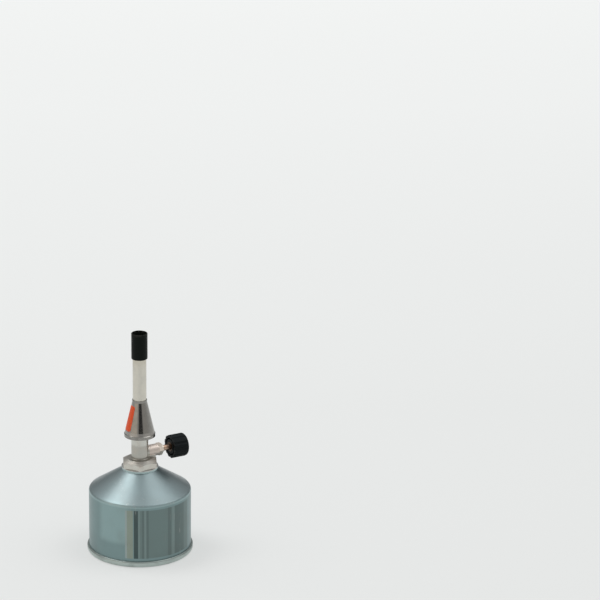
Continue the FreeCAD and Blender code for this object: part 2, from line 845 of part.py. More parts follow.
def control_knob():
    """Fluted knob with a crowned end, hollow behind its rim."""
    body = spindle_body("control_knob", [
        ("knob_start", "insert_radius + fit_clearance"),
        ("insert_end + fit_clearance", "insert_radius + fit_clearance"),
        ("insert_end + fit_clearance", "0"),
        ("knob_end", "0", "arc"),
        ("knob_shoulder", "knob_radius"),
        ("knob_start", "knob_radius"),
        ("knob_start", "knob_radius - knob_rim"),
        ("hollow_end", "knob_radius - knob_rim"),
        ("hollow_end", "knob_hub / 2"),
        ("knob_start", "knob_hub / 2"),
    ])
    round_rings(body, "outer_edge", "knob_rounding", [("knob_radius", "knob_shoulder")], along="x")
    sketch = new_sketch(body, "flute_profile", "YZ_Plane", level="knob_end")
    draw_circle(sketch, "flute_radius", up="flute_centre")
    flute = pocket(body, "flute", sketch, "knob_length")
    repeat(body, "flutes", flute, "X_Axis", "flute_count")
    sketch = new_sketch(body, "grub_profile", "XZ_Plane")
    draw_circle(sketch, "grub_diameter / 2 + thread_clearance", across="grub_x")
    pocket(body, "grub_hole", sketch, "knob_radius")
    return body


def knob_insert():
    """Bush in the knob that takes the spindle's end and the grub screw."""
    body = spindle_body("knob_insert", spindle_ring(
        "spindle_radius + fit_clearance", "insert_radius", "insert_start", "insert_end"))
    sketch = new_sketch(body, "grub_profile", "XZ_Plane")
    draw_circle(sketch, "grub_diameter / 2 + thread_clearance", across="grub_x")
    pocket(body, "grub_hole", sketch, "insert_radius")
    return body


def knob_grub_screw():
    """Screw through the knob's far side onto the spindle, with a hexagon socket."""
    body = turned_body("knob_grub_screw", [
        ("0", "grub_foot"),
        ("grub_diameter / 2", "grub_foot"),
        ("grub_diameter / 2", "grub_head"),
        ("0", "grub_head"),
    ])
    sketch = new_sketch(body, "socket_profile", "XY_Plane", level="grub_head")
    draw_hexagon(sketch, "grub_socket / 2 / cos(30)", "0")
    pocket(body, "socket", sketch, "grub_socket_depth")
    body.Placement = FreeCAD.Placement(FreeCAD.Vector(), upright_to_y)
    bind(body, Placement__Base__x="grub_x", Placement__Base__z="spindle_height")
    return body


def jet():
    """Gas nozzle screwed into the neck's spigot."""
    body = turned_body("jet", [
        ("jet_bore / 2", "jet_bottom"),
        ("jet_shank_radius", "jet_bottom"),
        ("jet_shank_radius", "washer_top"),
        ("jet_corner", "washer_top"),
        ("jet_corner", "jet_head_top"),
        ("jet_thread / 2", "jet_head_top"),
        ("jet_tip / 2", "jet_top"),
        ("orifice_diameter / 2", "jet_top"),
        ("orifice_diameter / 2", "jet_top - jet_roof"),
        ("jet_bore / 2", "jet_top - jet_roof"),
    ])
    cut_flats(body, "flats", "XY_Plane", "jet_head_top", "jet_head", "jet_corner")
    return body


def jet_washer():
    """Washer between the jet's hexagon and the spigot."""
    section = ring("washer_inside", "washer_inside + washer_width", "spigot_top", "washer_top")
    return turned_body("jet_washer", section)


def burner_tube():
    """Tube on the spigot, with two air ports, the stop pin's hole and pilot holes under the head."""
    body = turned_body("burner_tube", ring("tube_inside", "tube_radius", "neck_top", "tube_top"))
    sketch = new_sketch(body, "port_profile", "XZ_Plane")
    draw_circle(sketch, "port_diameter / 2", up="port_height")
    pocket(body, "ports", sketch, both=True)
    sketch = new_sketch(body, "pin_hole_profile", "XZ_Plane")
    draw_circle(sketch, "stop_pin_radius + fit_clearance", up="stop_pin_height")
    pocket(body, "pin_hole", sketch, "tube_radius")
    sketch = new_sketch(body, "pilot_profile", "XZ_Plane")
    draw_circle(sketch, "pilot_diameter / 2", up="pilot_height")
    pilot = pocket(body, "pilot", sketch, "tube_radius")
    repeat(body, "pilots", pilot, "Z_Axis", "pilot_count")
    return body


def stop_pin():
    """Pin through the tube's wall into the sleeve's slot."""
    pin = doc.addObject("Part::Cylinder", "stop_pin")
    pin.Placement = FreeCAD.Placement(FreeCAD.Vector(), upright_to_y)
    bind(pin, Radius="stop_pin_radius", Height="stop_pin_length")
    bind(pin, Placement__Base__y="tube_inside", Placement__Base__z="stop_pin_height")
    return pin


def air_sleeve():
    """Sleeve that turns on the tube, with ports to match and a slot for the stop pin."""
    body = turned_body("air_sleeve", ring("sleeve_inside", "sleeve_outside", "sleeve_bottom", "sleeve_top"))
    sketch = new_sketch(body, "port_profile", "XZ_Plane")
    draw_circle(sketch, "port_diameter / 2", up="port_height")
    pocket(body, "ports", sketch, both=True)
    slot = ring("tube_inside", "bell_radius", "stop_pin_height - slot_reach", "stop_pin_height + slot_reach")
    turn(body, "slot", "Groove", slot, spin="90 - air_turn / 2", angle="slot_angle")
    return body


def air_bell():
    """Sheet cone with a lip on the tube and an upright rim."""
    return turned_body("air_bell", [
        ("sleeve_inside", "bell_top"),
        ("sleeve_inside", "lip_foot_inside"),
        ("bell_foot_inside", "bell_foot_height"),
        ("rim_inside", "rim_top"),
        ("rim_inside", "bell_bottom"),
        ("bell_radius", "bell_bottom"),
        ("bell_radius", "rim_top"),
        ("bell_foot", "bell_foot_height"),
        ("lip_outside", "lip_foot"),
        ("lip_outside", "bell_top"),
    ])


def burner_head():
    """Flame head gripped on the tube, with an annular slot round the tube's mouth."""
    return turned_body("burner_head", [
        ("head_bore", "head_bottom"),
        ("head_radius - head_chamfer", "head_bottom"),
        ("head_radius", "head_bottom + head_chamfer"),
        ("head_radius", "head_top - head_chamfer"),
        ("head_radius - head_chamfer", "head_top"),
        ("slot_radius", "head_top"),
        ("slot_radius", "slot_bottom"),
        ("head_bore", "slot_bottom"),
    ])


def flame_grid():
    """Perforated disc below the tube's mouth."""
    body = turned_body("flame_grid", [
        ("0", "grid_bottom"),
        ("grid_radius", "grid_bottom"),
        ("grid_radius", "grid_top"),
        ("0", "grid_top"),
    ])
    circles = [("inner", "grid_pitch", "grid_ring"), ("outer", "2 * grid_pitch", "2 * grid_ring")]
    for name, place, count in circles:
        sketch = new_sketch(body, name + "_profile", "XY_Plane", level="grid_top")
        draw_circle(sketch, "grid_hole / 2", across=place)
        hole = pocket(body, name + "_hole", sketch, "grid_thickness")
        repeat(body, name + "_holes", hole, "Z_Axis", count)
    return body


pieces = [
    cartridge_shell(), cartridge_base(),
    valve_cup(), spring_housing(), valve_gasket(), valve_plunger(), plunger_spring(),
    coupling_seal(), depressor(), inlet_filter(), valve_body(),
    gland_packing(), gland_nut(), spindle_stop_ring(), needle_spindle(),
    control_knob(), knob_insert(), knob_grub_screw(), jet(), jet_washer(),
    burner_tube(), stop_pin(), air_sleeve(), air_bell(), burner_head(), flame_grid(),
]
doc.recompute()

for item in doc.Objects:
    if {"Invalid", "Error"} & set(item.State):
        raise ValueError(f"{item.Label} failed: {item.State}")
for piece in pieces:
    if piece.Shape.isNull() or not piece.Shape.isValid() or len(piece.Shape.Solids) != 1:
        raise ValueError(f"{piece.Label} is not one valid solid")

os.makedirs("parts", exist_ok=True)
for piece in pieces:
    piece.Shape.exportStep(f"parts/{piece.Label}.step")
    box = piece.Shape.BoundBox
    print(f"{piece.Label}: {piece.Shape.Volume:.1f} mm3, x {box.XMin:.2f} to {box.XMax:.2f}, "
          f"z {box.ZMin:.2f} to {box.ZMax:.2f}")
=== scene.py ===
import math
import bpy
import numpy as np
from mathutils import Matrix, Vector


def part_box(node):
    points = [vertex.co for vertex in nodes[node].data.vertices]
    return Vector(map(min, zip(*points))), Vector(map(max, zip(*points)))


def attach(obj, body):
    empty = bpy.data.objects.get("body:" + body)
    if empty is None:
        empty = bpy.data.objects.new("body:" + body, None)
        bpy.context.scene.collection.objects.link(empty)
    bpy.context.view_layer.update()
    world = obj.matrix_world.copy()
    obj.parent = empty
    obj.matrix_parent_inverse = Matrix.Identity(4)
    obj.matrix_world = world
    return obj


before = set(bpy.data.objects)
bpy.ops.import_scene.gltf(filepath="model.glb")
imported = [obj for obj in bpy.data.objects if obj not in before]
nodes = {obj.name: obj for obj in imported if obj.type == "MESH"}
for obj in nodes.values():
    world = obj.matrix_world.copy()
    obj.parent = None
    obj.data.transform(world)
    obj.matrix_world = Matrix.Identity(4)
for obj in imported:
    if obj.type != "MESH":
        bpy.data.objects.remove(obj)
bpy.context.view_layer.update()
scene = bpy.context.scene
scene.view_settings.view_transform = "Standard"


# one socket of a node tree: sums on it become Math nodes, any other node comes from node()
class Wire:
    def __init__(self, tree, socket=None):
        self.tree = tree
        self.socket = socket

    def node(self, kind, settings=None, inputs=None, out=0):
        made = self.tree.nodes.new("ShaderNode" + kind)
        for key, setting in (settings or {}).items():
            if key == "stops":
                ramp = made.color_ramp.elements
                while len(ramp) < len(setting):
                    ramp.new(0.5)   # moved to its place below
                for stop, (place, colour) in zip(ramp, setting):
                    stop.position = place
                    stop.color = (*colour, 1.0)
            else:
                setattr(made, key, setting)
        for key, source in (inputs or {}).items():
            if isinstance(source, Wire):
                self.tree.links.new(source.socket, made.inputs[key])
            elif isinstance(source, tuple) and made.inputs[key].type == "RGBA":
                made.inputs[key].default_value = (*source, 1.0)
            else:
                made.inputs[key].default_value = source
        return Wire(self.tree, made.outputs[out] if made.outputs else None)

    def sums(self, operation, *values):
        return self.node("Math", {"operation": operation}, dict(enumerate(values)))

    def __add__(self, other):
        return self.sums("ADD", self, other)

    def __sub__(self, other):
        return self.sums("SUBTRACT", self, other)

    def __rsub__(self, other):
        return self.sums("SUBTRACT", other, self)

    def __mul__(self, other):
        return self.sums("MULTIPLY", self, other)

    def __truediv__(self, other):
        return self.sums("DIVIDE", self, other)

    __radd__ = __add__
    __rmul__ = __mul__

    # 0 below low, 1 above high, an S curve between
    def rise(self, low, high):
        ends = {"Value": self, "From Min": low, "From Max": high}
        return self.node("MapRange", {"interpolation_type": "SMOOTHSTEP"}, ends)

    # 1 from low to high, with soft edges
    def between(self, low, high, soft):
        return self.rise(low - soft, low + soft) * (1 - self.rise(high - soft, high + soft))

    # this value as a mask between two colours
    def blend(self, under, over):
        return self.node("Mix", {"data_type": "RGBA"}, {0: self, 6: under, 7: over}, out=2)


# what the patterns of several finishes share
pattern = {
    "middle": 0.5,                   # a noise's usual value
    "broken": 0.55,                  # roughness of the clouds
    "lineDetail": 2.0,
    "scratchDetail": 1.0,
    "scratchPull": 0.03,             # how fast a scratch changes along itself, against across
    "scratchRange": (0.66, 0.74),    # the noise that shows as a scratch
}
spindleLow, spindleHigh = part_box("needle_spindle")
spindleHeight = (spindleLow.z + spindleHigh.z) / 2


# Object coordinates in metres: x, y, z, and the distance and angle round the burner's axis or the spindle's
class Place:
    def __init__(self, root, axis="z", facing=0.0):
        self.root = root
        self.point = root.node("TexCoord", out=3)
        split = root.node("SeparateXYZ", None, {0: self.point}).socket.node.outputs
        self.x, self.y, self.z = (Wire(root.tree, socket) for socket in split)
        if axis == "x":
            across, aside, self.along = self.y, self.z - spindleHeight, self.x
        else:
            across, aside, self.along = self.x, self.y, self.z
        cosine, sine = math.cos(math.radians(facing)), math.sin(math.radians(facing))
        self.radius = root.sums("SQRT", across * across + aside * aside)
        self.angle = root.sums("ARCTAN2", aside * cosine - across * sine, across * cosine + aside * sine)

    # cloudy noise, scale in spots per metre
    def cloud(self, scale, detail, broken=pattern["broken"]):
        spots = {"Vector": self.point, "Scale": scale, "Detail": detail, "Roughness": broken}
        return self.root.node("TexNoise", None, spots)

    # noise drawn out into lines: along and turns are how often it changes per metre and per radian
    def lines(self, along, turns, detail=pattern["lineDetail"]):
        stretched = self.root.node("CombineXYZ", None, {0: self.along * along, 1: self.angle * turns})
        return self.root.node("TexNoise", None, {"Vector": stretched, "Scale": 1.0, "Detail": detail})

    # thin straight scratches on a few of the cells of a stretched noise, scale in cells per metre
    def scratches(self, scale, tilt):
        pulled = (scale, scale, scale * pattern["scratchPull"])
        turned = self.root.node("Mapping", None, {"Vector": self.point, "Rotation": tilt, "Scale": pulled})
        cells = {"Vector": turned, "Scale": 1.0, "Detail": pattern["scratchDetail"]}
        return self.root.node("TexNoise", None, cells).rise(*pattern["scratchRange"])


# a material with its root wire; paint() fills its shader
def newFinish(name):
    material = bpy.data.materials.new(name)
    material.use_nodes = True
    material.node_tree.nodes.clear()
    return material, Wire(material.node_tree)


# depth is the bumps' height in metres
def paint(root, look, height, depth, strength):
    bump = root.node("Bump", None, {"Height": height, "Distance": depth, "Strength": strength})
    shader = root.node("BsdfPrincipled", None, {**look, "Normal": bump})
    root.node("OutputMaterial", None, {"Surface": shader})


def wear(material, *names):
    for name in names:
        nodes[name].material_slots[0].material = material


# an object from points and faces
def newPiece(name, points, faces, material):
    mesh = bpy.data.meshes.new(name)
    mesh.from_pydata(points.tolist(), [], faces.tolist())
    mesh.materials.append(material)
    mesh.polygons.foreach_set("use_smooth", np.ones(len(mesh.polygons), bool))
    mesh.update()
    made = bpy.data.objects.new(name, mesh)
    scene.collection.objects.link(made)
    return made


# a camera or lamp at a spot, looking against its back axis
def setUp(name, data, right, up, back, spot):
    turned = np.eye(4)
    turned[:3] = np.stack([right, up, back, spot], axis=1)
    made = bpy.data.objects.new(name, data)
    made.matrix_world = turned.T.tolist()
    scene.collection.objects.link(made)
    return made


print("scene: frame loaded,", len(nodes), "solids")

# camera
view = {
    "bearing": 242.5,                # degrees round the burner's axis, from +X
    "away": 2.5752,                  # metres from the axis
    "height": 1.0944,
    "pitch": 18.5093,                # degrees below the horizon
    "yaw": -3.0940,
    "roll": 0.7490,
    "focal": 3137.4,                 # pixels, for a frame of the next width
    "frameWidth": 600.0,
    "sensor": 36.0,                  # millimetres
    "farthest": 200.0,               # metres
}


def placeCamera():
    bearing = math.radians(view["bearing"])
    heading = bearing + math.pi + math.radians(view["yaw"])
    pitch = math.radians(view["pitch"])
    roll = math.radians(view["roll"])
    forward = np.array([math.cos(heading), math.sin(heading), 0.0])
    ahead = forward * math.cos(pitch) - np.array([0.0, 0.0, math.sin(pitch)])
    level = np.array([math.sin(heading), -math.cos(heading), 0.0])
    over = np.cross(level, ahead)
    right = level * math.cos(roll) + over * math.sin(roll)
    up = over * math.cos(roll) - level * math.sin(roll)
    spot = np.array([view["away"] * math.cos(bearing), view["away"] * math.sin(bearing), view["height"]])
    lens = bpy.data.cameras.new("photoView")
    lens.sensor_width = view["sensor"]
    lens.lens = view["focal"] * view["sensor"] / view["frameWidth"]
    lens.clip_end = view["farthest"]
    scene.camera = setUp("photoView", lens, right, up, -ahead, spot)


placeCamera()
print("scene: camera set")

# studio: pale floor, two soft boxes overhead, and a room that is dim behind the burner
studio = {
    "floor": (0.37, 0.378, 0.375),
    "floorRough": 0.9,
    "floorShine": 0.1,
    "fibre": (900.0, 2.0),           # spots per metre, detail
    "fibreBump": (0.00005, 0.1),     # metres, strength
    "reach": 40.0,                   # half the floor's width
    "glowTint": (0.985, 1.0, 0.994),
    "glow": [                        # metres behind the burner, brightness added to the floor there
        (0.0, 0.455), (0.35, 0.465), (0.8, 0.51), (1.5, 0.595), (2.6, 0.69),
    ],
    "glowReach": 4.0,
    "boxes": {                       # side, back and up from the burner in metres, width, watts
        "boxLeft": ((-0.78, 0.28, 1.74), 0.85, 9.2),
        "boxRight": ((0.92, 0.10, 1.74), 1.25, 7.5),
    },
    "behind": (0.16, 0.16, 0.16),
    "front": (0.56, 0.55, 0.53),
    "frontRange": (-0.3, 0.4),       # how much of a ray's direction is towards the camera
    "warmSide": (1.05, 0.96, 0.85),  # low on the left, behind the camera
    "warmNear": (-0.1, 0.25),
    "warmLeft": (0.25, 0.5),
    "darkGap": (0.05, 0.05, 0.05),   # behind the camera, a little to its right
    "gapWay": (0.15, -0.989),        # side and back
    "gapRange": (0.93, 0.965),
    "zenith": (0.60, 0.60, 0.60),
    "zenithRange": (0.12, 0.6),      # how much of a ray's direction is up
}


# side is to the right as the camera sees it, back is away from it
def studioPoint(side, back, up):
    bearing = math.radians(view["bearing"])
    right = np.array([-math.sin(bearing), math.cos(bearing), 0.0])
    away = np.array([-math.cos(bearing), -math.sin(bearing), 0.0])
    return right * side + away * back + np.array([0.0, 0.0, up])


# how far a point or ray lies along one of the studio's directions
def toward(root, vector, side, back):
    direction = tuple(studioPoint(side, back, 0.0))
    return root.node("VectorMath", {"operation": "DOT_PRODUCT"}, {0: vector, 1: direction}, out=1)


# a flat square; only camera, glossy and transmission rays see its glow
def buildFloor():
    material, root = newFinish("floorPale")
    place = Place(root)
    back = toward(root, place.point, 0.0, 1.0) / studio["glowReach"]
    tint = np.array(studio["glowTint"])
    stops = [(far / studio["glowReach"], tuple(light * tint)) for far, light in studio["glow"]]
    glow = root.node("ValToRGB", {"stops": stops}, {0: back})
    rays = root.node("LightPath").socket.node.outputs
    direct = ("Is Camera Ray", "Is Glossy Ray", "Is Transmission Ray")
    seen = sum(Wire(root.tree, rays[key]) for key in direct)
    look = {
        "Base Color": studio["floor"],
        "Roughness": studio["floorRough"],
        "Specular IOR Level": studio["floorShine"],
        "Emission Color": seen.rise(0.0, 1.0).blend((0.0, 0.0, 0.0), glow),
        "Emission Strength": 1.0,
    }
    paint(root, look, place.cloud(*studio["fibre"]), *studio["fibreBump"])
    corners = np.array([[-1.0, -1.0, 0.0], [1.0, -1.0, 0.0], [1.0, 1.0, 0.0], [-1.0, 1.0, 0.0]])
    newPiece("floor", corners * studio["reach"], np.array([[0, 1, 2, 3]]), material)


# both boxes look at the burner's foot
def buildBoxes():
    for name, (spot, width, watts) in studio["boxes"].items():
        lamp = bpy.data.lights.new(name, "AREA")
        lamp.shape = "SQUARE"
        lamp.size = width
        lamp.energy = watts
        at = studioPoint(*spot)
        back = at / np.linalg.norm(at)
        aside = np.cross([0.0, 0.0, 1.0], back)
        aside = aside / np.linalg.norm(aside)
        setUp(name, lamp, aside, np.cross(back, aside), back, at)


def buildRoom():
    sky = bpy.data.worlds.new("room")
    sky.use_nodes = True
    sky.node_tree.nodes.clear()
    root = Wire(sky.node_tree)
    ray = root.node("TexCoord", out=0)
    up = root.node("SeparateXYZ", None, {0: ray}, out=2)
    near = toward(root, ray, 0.0, -1.0)
    left = toward(root, ray, -1.0, 0.0)
    gap = toward(root, ray, *studio["gapWay"]).rise(*studio["gapRange"])
    warm = left.rise(*studio["warmLeft"]) * near.rise(*studio["warmNear"])
    low = near.rise(*studio["frontRange"]).blend(studio["behind"], studio["front"])
    low = gap.blend(warm.blend(low, studio["warmSide"]), studio["darkGap"])
    light = up.rise(*studio["zenithRange"]).blend(low, studio["zenith"])
    glow = root.node("Background", None, {"Color": light})
    root.node("OutputWorld", None, {"Surface": glow})
    scene.world = sky


buildFloor()
buildBoxes()
buildRoom()
print("scene: studio built")

# the can: blue-grey lacquer on tinplate, with a two-colour stripe and columns of darker lacquer
can = {
    "lacquer": (0.222, 0.292, 0.305),
    "wall": (0.216, 0.312, 0.318),
    "reflectionPanel": (0.282, 0.402, 0.408),  # painted reflection: the wall paler on the left, with soft edges
    "shoulder": (0.39, 0.53, 0.54),  # painted highlight where the cone turns into the wall
    "column": (0.168, 0.232, 0.227),
    "shade": (0.135, 0.187, 0.183),
    "pale": (0.202, 0.271, 0.266),
    "rim": (0.330, 0.399, 0.393),    # the stripe: its pale edge and its two halves
    "beige": (0.279, 0.332, 0.285),
    "dark": (0.066, 0.099, 0.099),
    "bare": (0.52, 0.53, 0.51),
    "curl": (0.42, 0.55, 0.55),      # the rolled mouth, rubbed towards the tin
    "grime": (0.16, 0.17, 0.16),
    "curlRadius": 0.0157,
    "curlEdge": (0.0001, 0.0003),    # metres outside curlRadius
    "wallTop": 0.0573,
    "wallEdge": (-0.0012, 0.0006),   # metres above wallTop, as in the next two
    "highlitBand": (-0.0022, 0.0002, 0.0006),    # low, high, softness
    "rubbedBand": (-0.0011, 0.0002, 0.0004),
    "panelTurn": (-50.0, -12.0, 5.0),         # degrees from the side that faces the camera, softness
    "panelLow": 0.0215,
    "panelSoft": 0.003,
    "bandHeight": (0.0082, 0.0532, 0.0003),   # low, high, softness
    "bandSoft": 0.25,                # degrees
    "bands": [                       # degrees from the side that faces the camera, colour
        (-2.0, 67.0, "column"), (-2.0, -0.2, "pale"),
        (2.0, 4.4, "shade"), (4.6, 6.8, "pale"), (7.0, 9.6, "shade"),
        (32.6, 37.2, "shade"), (38.2, 41.8, "pale"), (42.4, 58.0, "shade"),
        (-17.0, -14.9, "rim"), (-14.9, -8.1, "beige"), (-7.1, -2.3, "dark"),
    ],
    "haze": (60.0, 4.0),             # spots per metre, detail, as in the next two
    "grain": (2600.0, 2.0),
    "chips": (420.0, 4.0),
    "chipRange": (0.55, 0.7),
    "scuffs": (700.0, (0.9, 0.4, 0.2)),       # cells per metre, tilt in radians
    "scuffRange": (0.5, 0.68),
    "scuffDepth": 0.6,
    "dustRange": (0.42, 0.75),
    "shares": {"scuffs": 0.35, "rubbed": 0.6, "highlit": 0.55, "dust": 0.16},    # how far each covers
    "metal": 0.85,
    "rough": {"lacquer": 0.33, "haze": 0.1, "grain": 0.06, "bare": 0.06},
    "coat": {"cone": 0.6, "haze": 0.2, "lostOnWall": 0.75, "rough": 0.32},
    "bump": (0.00001, 0.25),         # metres, strength
}


def canFinish():
    material, root = newFinish("canLacquer")
    place = Place(root, facing=view["bearing"])
    shares, rough, coat = can["shares"], can["rough"], can["coat"]
    haze = place.cloud(*can["haze"])
    grain = place.cloud(*can["grain"])
    turn = place.angle * math.degrees(1.0)
    aboveWall = place.z - can["wallTop"]
    wall = 1 - aboveWall.rise(*can["wallEdge"])
    colour = wall.blend(can["lacquer"], can["wall"])

    # painted reflection: a paler patch on the left side of the wall
    reflectionPanel = place.z.between(can["panelLow"], can["wallTop"], can["panelSoft"])
    colour = (turn.between(*can["panelTurn"]) * reflectionPanel).blend(colour, can["reflectionPanel"])
    striped = place.z.between(*can["bandHeight"])
    for start, end, name in can["bands"]:
        colour = (turn.between(start, end, can["bandSoft"]) * striped).blend(colour, can[name])

    # painted highlight: a paler band along the top of the wall, below the shoulder
    highlit = aboveWall.between(*can["highlitBand"]) * shares["highlit"]
    dust = haze.rise(*can["dustRange"]) * shares["dust"]
    scuffs = place.scratches(*can["scuffs"]) * haze.rise(*can["scuffRange"])
    rubbed = aboveWall.between(*can["rubbedBand"]) * place.cloud(*can["chips"]).rise(*can["chipRange"])
    bare = scuffs * shares["scuffs"] + rubbed * shares["rubbed"]
    curl = 1 - (place.radius - can["curlRadius"]).rise(*can["curlEdge"])
    colour = dust.blend(highlit.blend(colour, can["shoulder"]), can["grime"])
    colour = curl.blend(bare.blend(colour, can["bare"]), can["curl"])
    satin = rough["lacquer"] + haze * rough["haze"] + grain * rough["grain"] - bare * rough["bare"]
    look = {
        "Base Color": colour,
        "Metallic": can["metal"],
        "Roughness": satin,
        "Coat Weight": (coat["cone"] + haze * coat["haze"]) * (1 - wall * coat["lostOnWall"]),
        "Coat Roughness": coat["rough"],
    }
    paint(root, look, grain + scuffs * can["scuffDepth"], *can["bump"])
    wear(material, "cartridge_shell")


# the base: a paler lacquer with a painted reflection on its lower half, painted shade along the folded top
# of the seam, bare in spots where it stands, and ringed underneath by the press
seam = {
    # paler lacquer, lightened as a painted reflection of the floor on the seam's lower half
    "lacquer": (0.48, 0.555, 0.53),
    "bare": (0.55, 0.56, 0.53),
    "grime": (0.12, 0.125, 0.115),
    "shadedFold": (0.23, 0.275, 0.265),
    "foldBand": (0.0047, 0.0062, 0.0006),     # low, high, softness
    "footEdge": (0.0002, 0.001),
    "footRange": (0.4, 0.6),
    "underEdge": (0.0435, 0.0442),   # metres from the axis
    "rings": 5200.0,                 # radians of the rings' wave per metre
    "ringDepth": 0.5,
    "haze": (90.0, 4.0),             # spots per metre, detail
    "spots": (700.0, 4.0),
    "grimeRange": (0.45, 0.75),
    "rubbedRange": (0.42, 0.66),
    "shares": {"shadedFold": 0.85, "grime": 0.35, "rubbed": 0.12, "foot": 0.7},
    "metal": 0.85,
    "rough": {"lacquer": 0.3, "haze": 0.14, "spots": 0.06},
    "coat": 0.15,
    "coatRough": 0.25,
    "bump": (0.00002, 0.25),         # metres, strength
}


def seamFinish():
    material, root = newFinish("seamLacquer")
    place = Place(root)
    shares, rough = seam["shares"], seam["rough"]
    haze = place.cloud(*seam["haze"])
    spots = place.cloud(*seam["spots"])
    shadedFold = place.z.between(*seam["foldBand"])
    rubbed = shadedFold * spots.rise(*seam["rubbedRange"])
    foot = (1 - place.z.rise(*seam["footEdge"])) * spots.rise(*seam["footRange"])
    bare = rubbed * shares["rubbed"] + foot * shares["foot"]
    colour = (haze.rise(*seam["grimeRange"]) * shares["grime"]).blend(seam["lacquer"], seam["grime"])
    # painted shade: the folded top of the seam darkened
    colour = (shadedFold * shares["shadedFold"]).blend(colour, seam["shadedFold"])
    under = 1 - place.radius.rise(*seam["underEdge"])
    rings = (place.radius * seam["rings"]).sums("SINE")
    look = {
        "Base Color": bare.blend(colour, seam["bare"]),
        "Metallic": seam["metal"],
        "Roughness": rough["lacquer"] + haze * rough["haze"] + spots * rough["spots"],
        "Coat Weight": seam["coat"] * (1 - bare),
        "Coat Roughness": seam["coatRough"],
    }
    paint(root, look, spots + under * rings * seam["ringDepth"], *seam["bump"])
    wear(material, "cartridge_base")


canFinish()
seamFinish()
print("scene: can finished")

# the valve body: satin nickel on brass, turned on the neck and the boss, milled on the hexagon
body = {
    "nickel": (0.455, 0.45, 0.41),
    "warm": (0.50, 0.44, 0.385),     # brass showing through thin plating, and a painted warm reflection on the hexagon towards +X
    "grime": (0.20, 0.17, 0.14),
    "bright": (0.60, 0.60, 0.555),   # painted highlight on the upper half of the neck
    # painted highlight on the hexagon's flats and painted shade on its chamfer
    "litFlat": (0.66, 0.645, 0.59),
    "shadedChamfer": (0.42, 0.41, 0.375),
    # painted warm reflection: the boss lighter and pinker than the nickel
    "boss": (0.66, 0.585, 0.525),
    "hexTop": 0.0859,
    "hexEdge": (-0.0002, 0.0),       # metres above hexTop
    "creviceBand": (-0.0002, 0.0016, 0.0005),    # metres above hexTop, softness
    "hexFace": 0.0113,               # where the chamfer starts, from the axis
    "hexSlope": 0.5774,              # how steeply the chamfer falls
    "chamferEdge": (0.0001, 0.0003),
    "neckMiddle": 0.0985,
    "neckEdge": (-0.001, 0.0015),    # metres above neckMiddle
    "bossRadius": 0.0054,
    "bossEdge": (0.0, 0.0002),       # metres outside bossRadius
    "bossStart": (0.0068, 0.0074),   # metres along +X, as in the next
    "hexWarmReflection": (0.0, 0.012),
    "turned": (8000.0, 1.2),         # marks per metre along the axis, per radian round it
    "milled": (900.0, 40.0),
    "haze": (160.0, 4.0),            # spots per metre, detail, as in the next two
    "dirt": (500.0, 3.0),
    "spots": (1500.0, 2.0),
    "thinRange": (0.46, 0.66),
    "dirtRange": (0.3, 0.6),
    "spotRange": (0.66, 0.76),
    "shares": {"thin": 0.35, "hexWarmReflection": 0.245, "crevice": 0.35, "spots": 0.35, "litFlat": 0.85},
    "rough": {"nickel": 0.3, "boss": 0.18, "shadedChamfer": 0.2, "stains": 0.2, "marks": 0.16},
    "bump": (0.00002, 0.25),         # metres, strength
}


def bodyFinish():
    material, root = newFinish("nickelSatin")
    place = Place(root)
    side = Place(root, "x")
    shares, rough = body["shares"], body["rough"]
    aboveHex = place.z - body["hexTop"]
    onBoss = 1 - (side.radius - body["bossRadius"]).rise(*body["bossEdge"])
    onBoss = onBoss * place.x.rise(*body["bossStart"])
    onHex = (1 - aboveHex.rise(*body["hexEdge"])) * (1 - onBoss)
    onNeck = (1 - onBoss) * (1 - onHex)
    marks = onBoss * side.lines(*body["turned"]) + onNeck * place.lines(*body["turned"])
    marks = marks + onHex * place.lines(*body["milled"])

    # drop is how far a point lies below the cone of the chamfer
    drop = (body["hexFace"] - place.radius) * body["hexSlope"] - aboveHex
    litFlat = onHex * drop.rise(*body["chamferEdge"])
    shadedChamfer = onHex * (1 - drop.rise(*body["chamferEdge"]))
    # painted highlight: the upper half of the neck lighter
    sheenedNeck = (place.z - body["neckMiddle"]).rise(*body["neckEdge"])
    plated = sheenedNeck.blend(body["nickel"], body["bright"])
    # painted highlight on the flats, painted shade on the chamfer
    plated = (litFlat * shares["litFlat"]).blend(plated, body["litFlat"])
    plated = shadedChamfer.blend(plated, body["shadedChamfer"])

    thin = place.cloud(*body["haze"]).rise(*body["thinRange"]) * shares["thin"]
    # painted reflection: the hexagon warmer towards +X; the clouds above are thin plating
    thin = thin + onHex * place.x.rise(*body["hexWarmReflection"]) * shares["hexWarmReflection"]
    crevice = aboveHex.between(*body["creviceBand"]) * (1 - onBoss)
    crevice = crevice * place.cloud(*body["dirt"]).rise(*body["dirtRange"])
    spots = place.cloud(*body["spots"]).rise(*body["spotRange"]) * shares["spots"]
    colour = onBoss.blend(thin.blend(plated, body["warm"]), body["boss"])
    colour = (crevice * shares["crevice"]).blend(colour, body["grime"])
    satin = rough["nickel"] + onBoss * rough["boss"] + shadedChamfer * rough["shadedChamfer"]
    satin = satin + (crevice + spots) * rough["stains"] + (marks - pattern["middle"]) * rough["marks"]
    look = {"Base Color": spots.blend(colour, body["grime"]), "Metallic": 1.0, "Roughness": satin}
    paint(root, look, marks, *body["bump"])
    wear(material, "valve_body")


bodyFinish()

